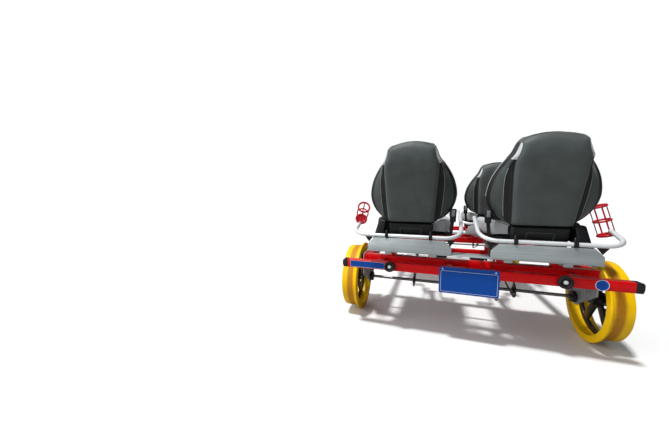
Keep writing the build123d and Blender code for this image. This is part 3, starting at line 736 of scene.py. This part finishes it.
def placeBearingBolts():
    s = bearingBolts
    places = []
    for y in axlePlaces.values():
        for side in sideNames:
            for ahead, rise in s["side"]:
                for x, way in ((s["outer"], side), (s["inner"], -side)):
                    places.append(((side * x, y + ahead, axleHeight + rise), (way, 0, 0), (0, 1, 0)))
            for ahead in s["top"]:
                places.append(((side * s["outer"], y + ahead, s["railHeight"]), (side, 0, 0), (0, 1, 0)))
    setPieces("bearingBolts", bolt, places, zinc, rootBody, "zinc")


def placeClampParts():
    s = clampSizes
    spots = [(side * s["middle"] + way * s["spread"], y)
             for y in rowPlaces.values() for side in sideNames for way in (-1, 1)]
    places = [((x, y - s["back"], s["height"]), (0, -1, 0), (0, 0, 1)) for x, y in spots]
    setPieces("clampBolts", bolt, places, blackPaint, rootBody, "black_plastic", size=s["bolt"])
    places = [((x, y, s["top"]), (0, 0, 1), (1, 0, 0)) for x, y in spots]
    setPieces("clampKnobs", knob, places, blackPaint, rootBody, "black_plastic")


def placePlugs():
    places = []
    for row in rowPlaces.values():
        for side in sideNames:
            for end in ("inner", "outer"):
                x, y, z = tubeEnds[end]
                wayX, wayY, wayZ = tubeEnds[end + "Way"]
                places.append(((side * x, row + y, z), (side * wayX, wayY, wayZ), (1, 0, 0)))
    setPieces("tubePlugs", plug, places, tubeSteel, rootBody, "bright_steel")


def placeHubBolts():
    s = wheelSizes
    for end, y in axlePlaces.items():
        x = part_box(end + "_wheel_centres")[1].x - s["hubBoltIn"]
        places = [((side * x, y - s["hubBoltCircle"] * b, axleHeight + s["hubBoltCircle"] * a),
                   (side, 0, 0), (0, 0, 1)) for side in sideNames for a, b in roundSteps(s["spokes"])]
        setPieces(end + "HubBolts", bolt, places, zinc, end + "_axle", "zinc")


placeBearingBolts()
placeClampParts()
placePlugs()
placeHubBolts()
print("bolts and plugs set")


# signs, all blank, each with a light line; drop is how much lower the line runs at the top

signSizes = dict(middle=dict(corner=0.012, turn=0.017, inset=0.0085, line=0.0019, drop=0.0135),
                 strip=dict(corner=0.003, turn=0.003, inset=0.0, line=0.0016, drop=0.0),
                 proud=0.0004, sunk=0.0006, leastTurn=0.0015, screwX=0.134, screwDown=0.0125, screwSize=0.85,
                 ring=0.0026, steps=64)


def framedPlate(name, standsFor, corner, turn, inset, line, drop):
    s = signSizes
    low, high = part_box(standsFor)
    outer, inner = (roundedPlan(low.x, high.x, low.z, high.z - drop, max(turn - more, s["leastTurn"]), more)
                    for more in (inset, inset + line))
    parts = [(0, plate(roundedPlan(low.x, high.x, low.z, high.z, corner), low.y, high.y)),
             (1, plate(outer, low.y - s["proud"], low.y + s["sunk"], inner))]
    dress(joined(name, parts), rootBody, "sign_blue", blueSign, signLight, replaced=(standsFor,))


def makeSigns():
    s = signSizes
    framedPlate("middleSign", "sign", **s["middle"])
    low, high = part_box("sign")
    places = [((side * s["screwX"], low.y, high.z - s["screwDown"]), (0, -1, 0), (1, 0, 0))
              for side in sideNames]
    setPieces("signScrews", screw, places, signLight, rootBody, "bright_steel", size=s["screwSize"])
    framedPlate("sideStrip", "side_strip", **s["strip"])
    low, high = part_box("number_disc")
    centre = ((low.x + high.x) / 2, 0, (low.z + high.z) / 2)
    radius = (high.x - low.x) / 2
    inner = radius - s["ring"]
    front = low.y - s["proud"]
    disc = [(low.y, 0), (low.y, inner), (high.y, inner), (high.y, 0)]
    ring = [(front, inner), (front, radius), (high.y, radius), (high.y, inner)]
    parts = [(number, lathe(profile, centre, "Y", s["steps"])) for number, profile in enumerate((disc, ring))]
    dress(smoothByAngle(joined("numberDisc", parts), 30), rootBody, "sign_blue", blueSign, signLight,
          replaced=("number_disc",))


makeSigns()
print("signs made")


# round rubber buffers with a bolt in the middle

bufferSizes = dict(radius=0.033, seat=0.0095, bolt=1.1, steps=48,
                   profile=((0, 0.003), (0, 0.031), (0.003, 0.033), (0.011, 0.0325), (0.0165, 0.030),
                            (0.018, 0.0265), (0.0168, 0.023), (0.0122, 0.0212), (0.0108, 0.0175),
                            (0.0128, 0.0145), (0.0095, 0.012), (0.0095, 0.003)))


def makeBuffers():
    s = bufferSizes
    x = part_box("buffers")[1].x - s["radius"]
    z = middleOf("buffers", 2)
    parts, places = [], []
    for end, bumper in zip((-1, 1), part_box("bumpers")):
        for side in sideNames:
            profile = [(bumper.y + end * along, radius) for along, radius in s["profile"]]
            parts.append((0, lathe(profile, (side * x, 0, z), "Y", s["steps"])))
            places.append(((side * x, bumper.y + end * s["seat"], z), (0, end, 0), (1, 0, 0)))
    dress(smoothByAngle(joined("rubberBuffers", parts), 40), rootBody, "black_rubber", blackRubber,
          replaced=("buffers",))
    setPieces("bufferBolts", bolt, places, tubeSteel, rootBody, "bright_steel", size=s["bolt"])


makeBuffers()
for piece in (bolt, screw, plug, knob):
    bpy.data.objects.remove(piece)
print("buffers made")


# chains: single links set round each loop

chainSizes = dict(pitch=0.0127, lift=0.0065, half=0.0043, plate=0.0011, innerGap=0.0016, outerGap=0.0028,
                  roller=0.0036, ringTeeth=44, sprocketTeeth=18, inset=0.009, arc=48)


def linkPiece(name, gap):
    s = chainSizes
    bm = bmesh.new()
    half = s["pitch"] / 2
    outline = []
    for turn, middle in ((-90, half), (90, -half)):
        for k in range(5):
            a = math.radians(turn + 45 * k)
            outline.append((middle + s["half"] * math.cos(a), s["half"] * math.sin(a)))
    for side in sideNames:
        stack(bm, [[(x, y, side * z) for x, y in outline] for z in (gap, gap + s["plate"])])
    reach = gap + s["plate"] * 0.5
    rodInto(bm, half, -reach, reach, s["roller"], 8)
    return fromBmesh(name, facedOut(bm))


def chainPath(y0, z0, r0, y1, z1, r1):
    # points of the closed loop round two wheels
    along = math.atan2(z1 - z0, y1 - y0)
    turn = math.acos((r0 - r1) / math.hypot(y1 - y0, z1 - z0))
    points = []
    for y, z, r, start, end in ((y0, z0, r0, along + turn, along - turn + 2 * math.pi),
                                (y1, z1, r1, along - turn, along + turn)):
        for k in range(chainSizes["arc"] + 1):
            a = start + (end - start) * k / chainSizes["arc"]
            points.append(Vector((0, y + r * math.cos(a), z + r * math.sin(a))))
    return points


def evenSteps(points, pitch):
    # an even number of equal steps round a closed line, each with its direction
    loop = points + [points[0]]
    lengths = [(b - a).length for a, b in zip(loop, loop[1:])]
    total = sum(lengths)
    count = 2 * round(total / pitch / 2)
    steps, k, passed = [], 0, 0.0
    for n in range(count):
        target = total * n / count
        while passed + lengths[k] < target:
            passed += lengths[k]
            k += 1
        way = loop[k + 1] - loop[k]
        steps.append((loop[k] + way * ((target - passed) / max(lengths[k], 1e-9)), way.normalized()))
    return steps


def makeChains():
    s = chainSizes
    ringRadius, sprocketRadius = (s["pitch"] / 2 / math.sin(math.pi / s[teeth]) + s["lift"]
                                  for teeth in ("ringTeeth", "sprocketTeeth"))
    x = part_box("rear_sprockets")[1].x - s["inset"]
    inner, outer = [], []
    for end, y in axlePlaces.items():
        crank = end + "_right_crank"
        points = chainPath(middleOf(crank, 1), middleOf(crank, 2), ringRadius, y, axleHeight, sprocketRadius)
        for side in sideNames:
            for n, (point, way) in enumerate(evenSteps(points, s["pitch"])):
                (outer if n % 2 else inner).append(((side * x, point.y, point.z), (side, 0, 0), tuple(way)))
    for name, gap, places, standsFor in (("innerLinks", s["innerGap"], inner, ("chains",)),
                                         ("outerLinks", s["outerGap"], outer, ())):
        link = linkPiece(name + "Piece", gap)
        setPieces(name, link, places, chainSteel, rootBody, "chain_steel", replaced=standsFor)
        bpy.data.objects.remove(link)


makeChains()
print("chains made")


# bottle cages: rounded rings on the moulded baskets

cageSizes = dict(radius=0.038, lean=-18, drop=0.03, side=0.006, tilts=dict(rear=(55, 0), front=(0, 0)),
                 rings=((0.006, 0.0062), (0.083, 0.0046), (0.161, 0.0058)), sunk=0.35, steps=40)


def makeCageRings():
    s = cageSizes
    tipX, tipY, tipZ = tubeEnds["outer"]
    slope = math.atan2(tubeEnds["outerWay"][2], tubeEnds["outerWay"][1])
    parts = []
    for row, y in rowPlaces.items():
        for side, degrees in zip(sideNames, s["tilts"][row]):
            tilt = math.radians(degrees)
            away = s["radius"] + grabRadius * abs(math.sin(tilt - slope))
            place = (Matrix.Translation((tipX + s["side"], y + tipY, tipZ)) @ Matrix.Rotation(tilt, 4, "X")
                     @ Matrix.Translation((0, away, -s["drop"]))
                     @ Matrix.Rotation(math.radians(s["lean"]), 4, "Y"))
            mirrored = Matrix.Diagonal((side, 1, 1, 1)) @ place
            for height, thick in s["rings"]:
                r = s["radius"] - thick * s["sunk"]
                points = [mirrored @ Vector((r * a, r * b, height)) for a, b in roundSteps(s["steps"])]
                parts.append((0, tubeAlong(points, thick, 10, closed=True)))
    dress(smoothByAngle(joined("cageRings", parts), 60), rootBody, "cage_red", cageRed)


makeCageRings()
print("cage rings made")


# padded seats: one back and one cushion are shaped, blown up as cloth and set in four places

seatSizes = dict(x=0.32, z=0.713, recline=14, levels=2, smooth=50, fillBack=0.85, fillCushion=0.9,
                 flankX=0.05, flankY=0.28, cap=0.006, frames=20,
                 piping=((12, 0.0026, 0.10, 0.335), (8, 0.0008, 0.024, 0.3)))  # seam, radius, from, to
clothSizes = dict(use_pressure=True, uniform_pressure_force=3.0, vertex_group_mass="held", quality=4,
                  tension_stiffness=22, compression_stiffness=22, bending_stiffness=1.5)


def seatPlace(side, y, z=seatSizes["z"], recline=seatSizes["recline"]):
    return Matrix.Translation((side * seatSizes["x"], y, z)) @ Matrix.Rotation(math.radians(recline), 4, "X")


def between(table, v):
    # straight lines between the pairs of a table
    if v <= table[0][0]:
        return table[0][1]
    for (v0, a), (v1, b) in zip(table, table[1:]):
        if v <= v1:
            return a + (b - a) * (v - v0) / (v1 - v0)
    return table[-1][1]


def ease(low, high, v):
    t = min(max((v - low) / (high - low), 0), 1)
    return t * t * (3 - 2 * t)


def puffUp(obj):
    # cloth under slight pressure, held at its seams; no point moves further than the cap
    start = [v.co.copy() for v in obj.data.vertices]
    cloth = addModifier(obj, "CLOTH")
    for name, value in clothSizes.items():
        setattr(cloth.settings, name, value)
    cloth.settings.effector_weights.gravity = 0
    cloth.collision_settings.use_collision = False
    cloth.point_cache.frame_start = 1
    cloth.point_cache.frame_end = seatSizes["frames"]
    for frameNumber in range(1, seatSizes["frames"] + 1):
        scene.frame_set(frameNumber)
    graph = bpy.context.evaluated_depsgraph_get()
    blown = [v.co.copy() for v in obj.evaluated_get(graph).data.vertices]
    obj.modifiers.clear()
    for v, old, new in zip(obj.data.vertices, start, blown):
        move = new - old
        v.co = old + move * min(1, seatSizes["cap"] / max(move.length, 1e-9))
    scene.frame_set(1)
    obj.data.update()


def skinned(name, rings, kinds, held):
    # closed skin over rings of equal length; kinds gives the material number of each face
    bm = bmesh.new()
    rows = newRings(bm, rings)
    count = len(rings[0])
    for k, (here, there) in enumerate(zip(rows, rows[1:])):
        for i, face in enumerate(bridge(bm, here, there)):
            face.material_index = kinds(k, min(i, count - 1 - i))
    for row, level in ((rows[0], 0), (rows[-1], len(rows) - 2)):
        for i in range(count // 2):
            across = dict.fromkeys((row[i], row[i + 1], row[-1 - i], row[-i]))
            bm.faces.new(list(across)).material_index = kinds(level, 0)
    facedOut(bm).verts.index_update()
    pins = [rows[k][i].index for k in range(len(rows)) for i in range(count) if held(k, min(i, count - i))]
    obj = fromBmesh(name, bm)
    obj.vertex_groups.new(name="held").add(pins, 1.0, "REPLACE")
    addModifier(obj, "SUBSURF", levels=seatSizes["levels"], render_levels=seatSizes["levels"])
    return applyModifiers(obj)


def mirroredRing(right):
    # right half from the rear centre to the front centre, then the left half back
    return right + [(-x, y, z) for x, y, z in reversed(right[1:-1])]


# the back, in levels from its foot up: half widths of its outline and pad, and how far its edges roll in

outlineHalf = [(-0.025, 0.137), (-0.01, 0.172), (0.0, 0.188), (0.015, 0.205), (0.0325, 0.219), (0.06, 0.234),
               (0.09, 0.2445), (0.125, 0.249), (0.16, 0.2465), (0.189, 0.240), (0.22, 0.231), (0.25, 0.2175),
               (0.28, 0.2005), (0.307, 0.182), (0.325, 0.169), (0.345, 0.153), (0.405, 0.131),
               (0.425, 0.1245), (0.436, 0.117), (0.443, 0.107)]
padHalf = [(0.0, 0.129), (0.05, 0.133), (0.15, 0.140), (0.26, 0.146), (0.31, 0.146), (0.33, 0.144),
           (0.345, 0.138), (0.36, 0.131), (0.385, 0.126), (0.41, 0.127)]
rollIn = [(0.345, 0.0), (0.365, 0.002), (0.385, 0.006), (0.405, 0.013), (0.42, 0.021), (0.432, 0.031),
          (0.443, 0.045)]
noseOut = [(0.285, 0.152), (0.345, 0.145), (0.385, 0.131), (0.41, 0.118), (0.43, 0.104), (0.443, 0.090)]
backLevels = [-0.025, -0.022, -0.017, -0.013, -0.009, -0.003, 0.004, 0.012, 0.024, 0.04, 0.065, 0.095, 0.125,
              0.157, 0.189, 0.22, 0.25, 0.28, 0.307, 0.325, 0.338, 0.352, 0.368, 0.386, 0.405, 0.42, 0.432,
              0.439, 0.443]
backSizes = dict(rollFrom=-0.016, rollSpan=0.026, roll=0.046, shut=(0.285, 0.342), full=(0.001, 0.008),
                 padIn=0.004, seam=(0.016, 0.003), recess=0.036, recessShare=0.58, bulge=0.004,
                 grooveOpen=(0.044, 0.050, 0.054, 0.072, 0.092),
                 grooveShut=(0.010, 0.012, 0.014, 0.018, 0.026),
                 flankFoot=0.096, frontFoot=0.064, drop=0.017, dropSpan=0.106, deepest=0.16)
# for the ring's points below each number, counted from the rear: the skins below each height; the black in
# the rows for points under 8 (the pad's side wall and the recess) and under 13 (the wing's outer side) is
# painted shade
backSkins = ((5, ((-0.012, 1), (1, 0))), (8, ((0.33, 1), (0.412, 3), (1, 0))),
             (10, ((0.33, 2), (0.412, 3), (1, 0))), (13, ((0.412, 1), (1, 0))),
             (17, ((0.005, 1), (0.412, 3), (1, 0))), (99, ((0.005, 1), (1, 0))))


def backRing(v):
    s = backSizes
    h = between(outlineHalf, v)
    edge = min(between(padHalf, v), h - s["padIn"])
    turn = min(max((v - s["rollFrom"]) / s["rollSpan"], 0), 1)
    r = s["roll"] * (1 - math.sqrt(1 - (1 - turn) ** 2)) + between(rollIn, v)
    shut = ease(*s["shut"], v)
    seam = h - s["seam"][0] * (1 - shut) - s["seam"][1] * shut
    recess = edge + min(s["recess"], (seam - edge) * s["recessShare"])
    full = ease(*s["full"], v)
    nose = between(noseOut, v)
    d = [max(a + (r + b - a) * shut, r) for a, b in zip(s["grooveOpen"], s["grooveShut"])]
    bulge = s["bulge"] * ease(0.02, 0.08, v) * (1 - ease(0.3, 0.42, v))
    rear = [(0, r - bulge * 0.6), (edge * 0.5, r - bulge * 0.5), (edge - 0.03, r), (edge - 0.012, r + 0.003),
            (edge - 0.003, r + 0.011), (edge + 0.0015, min(r + 0.024, d[0])), (edge + 0.002, d[0]),
            (edge + (recess - edge) * 0.3, d[1]), (recess, d[2]), ((recess + seam) / 2, d[3]), (seam, d[4])]
    flank = [(h - 0.003, 0.098), (h, min(0.105, nose)), (h - 0.003, min(0.128, nose)),
             (h - 0.012, min(0.144, nose)), (h - 0.023, nose), (h - 0.040, min(0.146, nose))]
    low = s["flankFoot"]
    flank = [(max(x, 0.02), low + (y - low) * full if y > low else y) for x, y in flank]
    front = [(min(0.152, h - 0.048), 0.114), (min(0.135, h - 0.06), 0.101), (min(0.11, h - 0.08), 0.095),
             (0.05, 0.092), (0, 0.091)]
    low = s["frontFoot"]
    front = [(x, low + (min(y, nose) - low) * full) for x, y in front]
    drop = s["drop"] * ease(0.39, 0.443, v)
    ring = []
    for x, y in rear + flank + front:
        fall = drop * (min(abs(x), s["dropSpan"]) / s["dropSpan"]) ** 2
        ring.append((x, min(max(y, r - 0.004), s["deepest"]), v - fall))
    return mirroredRing(ring)


def backKind(k, i):
    # 0 dark pad, 1 black vinyl and painted shade, 2 wing, 3 light
    v = (backLevels[k] + backLevels[min(k + 1, len(backLevels) - 1)]) / 2
    bands = next(bands for end, bands in backSkins if i < end)
    return next(kind for top, kind in bands if v < top)


# the cushion: one section, swept to the front and rounded off at its ends

cushionHalf = [(0, 0.634), (0.12, 0.634), (0.215, 0.634), (0.226, 0.640), (0.231, 0.654), (0.232, 0.674),
               (0.232, 0.684), (0.231, 0.702), (0.226, 0.715), (0.214, 0.722), (0.198, 0.722), (0.184, 0.717),
               (0.170, 0.706), (0.158, 0.6975), (0.12, 0.696), (0.06, 0.6965), (0, 0.6965)]
cushionLevels = [(0.104, 0.55), (0.105, 0.3), (0.109, 0.1), (0.118, 0.0), (0.16, 0), (0.22, 0), (0.28, 0),
                 (0.34, 0), (0.40, 0), (0.46, 0.0), (0.495, 0.05), (0.518, 0.16), (0.534, 0.36),
                 (0.542, 0.62), (0.544, 0.85)]
cushionSizes = dict(middle=0.666, narrow=0.16, narrowTo=(0.1, 0.21), endNarrow=0.05, endLow=0.62, sag=0.008)


def cushionRing(y, end):
    # end is 0 along the cushion and rises to 1 where it rounds off
    s = cushionSizes
    middle = s["middle"]
    narrow = 1 - s["narrow"] * (1 - ease(*s["narrowTo"], y))
    ring = []
    for x, z in cushionHalf:
        height = (z - middle) * (1 - s["endLow"] * end) - s["sag"] * end * (z > middle)
        ring.append((x * narrow * (1 - s["endNarrow"] * end), y, middle + height))
    return mirroredRing(ring)


def cushionKind(k, i):
    return 1 if i < 3 else (3 if i < 13 else 0)


def pipingOn(back, number):
    # round piping along two seams of each wing, on the points that the cloth held
    count = len(backRing(0.1))
    parts = []
    for seam, radius, low, high in seatSizes["piping"]:
        levels = [k for k, v in enumerate(backLevels) if low <= v <= high]
        for index in (seam, count - seam):
            line = [back.data.vertices[k * count + index].co.copy() for k in levels]
            fine = [a.lerp(b, t / 3) for a, b in zip(line, line[1:]) for t in range(3)] + [line[-1]]
            for repeat in range(3):
                middle = [(p + 2 * q + r) / 4 for p, q, r in zip(fine, fine[1:], fine[2:])]
                fine = [fine[0]] + middle + [fine[-1]]
            parts.append((number, tubeAlong(fine, radius, 8)))
    return parts


def sided(mesh, side):
    # the outer flank of each cushion is covered in black at its rear end, the rest is light
    for face in mesh.polygons:
        x, y, z = face.center
        if face.material_index == 3 and x * side > seatSizes["flankX"] and y < seatSizes["flankY"]:
            face.material_index = 1


def makeSeats():
    s = seatSizes
    skins = (vinylDark, vinylBlack, vinylWing, vinylLight)
    # the black skin in the back's recess and on its wings' outer sides is painted shade
    back = skinned("seatBack", [backRing(v) for v in backLevels], backKind,
                   lambda k, i: i in (6, 8, 10, 13, 17) or k in (0, 1, 27))
    puffUp(back)
    shell = bmesh.new()
    shell.from_mesh(back.data)
    parts = [(None, shell)] + pipingOn(back, skins.index(vinylLight))
    bpy.data.objects.remove(back)
    back = joined("seatBack", parts)
    cushion = skinned("seatCushion", [cushionRing(y, end) for y, end in cushionLevels], cushionKind,
                      lambda k, i: i in (0, 1, 2, 6, 13) or k in (0, 14))
    puffUp(cushion)
    for piece in (back, cushion):
        smoothByAngle(piece, s["smooth"])
    first = True
    for row, y in rowPlaces.items():
        for side, sideName in sideNames.items():
            for piece, place, fill, standsFor in (
                    (back, seatPlace(side, y), s["fillBack"], ("back_shells", "back_cushions")),
                    (cushion, seatPlace(side, y, 0, 0), s["fillCushion"], ("seat_cushions",))):
                mesh = piece.data.copy()
                if piece is cushion:
                    sided(mesh, side)
                mesh.transform(place)
                obj = newObject(piece.name + row.title() + sideName, mesh)
                dress(obj, rootBody, "seat_dark", *skins, replaced=standsFor if first else ())
            first = False
    for piece in (back, cushion):
        bpy.data.objects.remove(piece)


makeSeats()
print("seats made")


# at each seat: a moulded cover at its outer side, a belt buckle at its inner side, a relief on its waist
# blocks: x span, y span and z of the foot and of the head, rounding and its steps

fittingSizes = dict(
    cover=(((0.487, 0.548), (0.034, 0.118), 0.580), ((0.466, 0.512), (0.046, 0.098), 0.712), 0.009, 3),
    strap=(((0.092, 0.111), (0.0687, 0.0713), 0.606), ((0.080, 0.099), (0.0687, 0.0713), 0.716), 0.0008, 1),
    buckle=(((0.07259, 0.10441), (0.0612, 0.0788), 0.708), ((0.070, 0.107), (0.059, 0.081), 0.786), 0.006, 3),
    face=(((0.0793, 0.0977), (0.0578, 0.0638), 0.742), ((0.0793, 0.0977), (0.0578, 0.0638), 0.779),
          0.0022, 2),
    relief=dict(plan=(-0.0625, 0.0625, -0.098, -0.046), corner=0.009, inner=0.004, rim=0.007, back=0.017,
                front=0.0226))


def makeFittings():
    parts = dict(reclinerCovers=[], beltBuckles=[], waistReliefs=[])
    relief = fittingSizes["relief"]
    for y in rowPlaces.values():
        for side in sideNames:
            place = Matrix.Translation((0, y, 0)) @ Matrix.Diagonal((side, 1, 1, 1))
            for name, fitting, number in (("reclinerCovers", "cover", 0), ("beltBuckles", "strap", 0),
                                          ("beltBuckles", "buckle", 0), ("beltBuckles", "face", 1)):
                foot, head, rounding, steps = fittingSizes[fitting]
                parts[name].append((number, block(foot, head, place, rounding, steps)))
            rim = plate(roundedPlan(*relief["plan"], relief["corner"]), relief["back"], relief["front"],
                        roundedPlan(*relief["plan"], relief["inner"], relief["rim"]))
            bmesh.ops.transform(rim, matrix=seatPlace(side, y), verts=rim.verts)
            parts["waistReliefs"].append((0, rim))
    for name, materials in (("reclinerCovers", (blackPlastic,)), ("beltBuckles", (blackPlastic, buckleGrey))):
        dress(smoothByAngle(joined(name, parts[name]), 40), rootBody, "black_plastic", *materials)
    dress(joined("waistReliefs", parts["waistReliefs"]), rootBody, "black_plastic", plasticRim)


makeFittings()
print("seat fittings made")
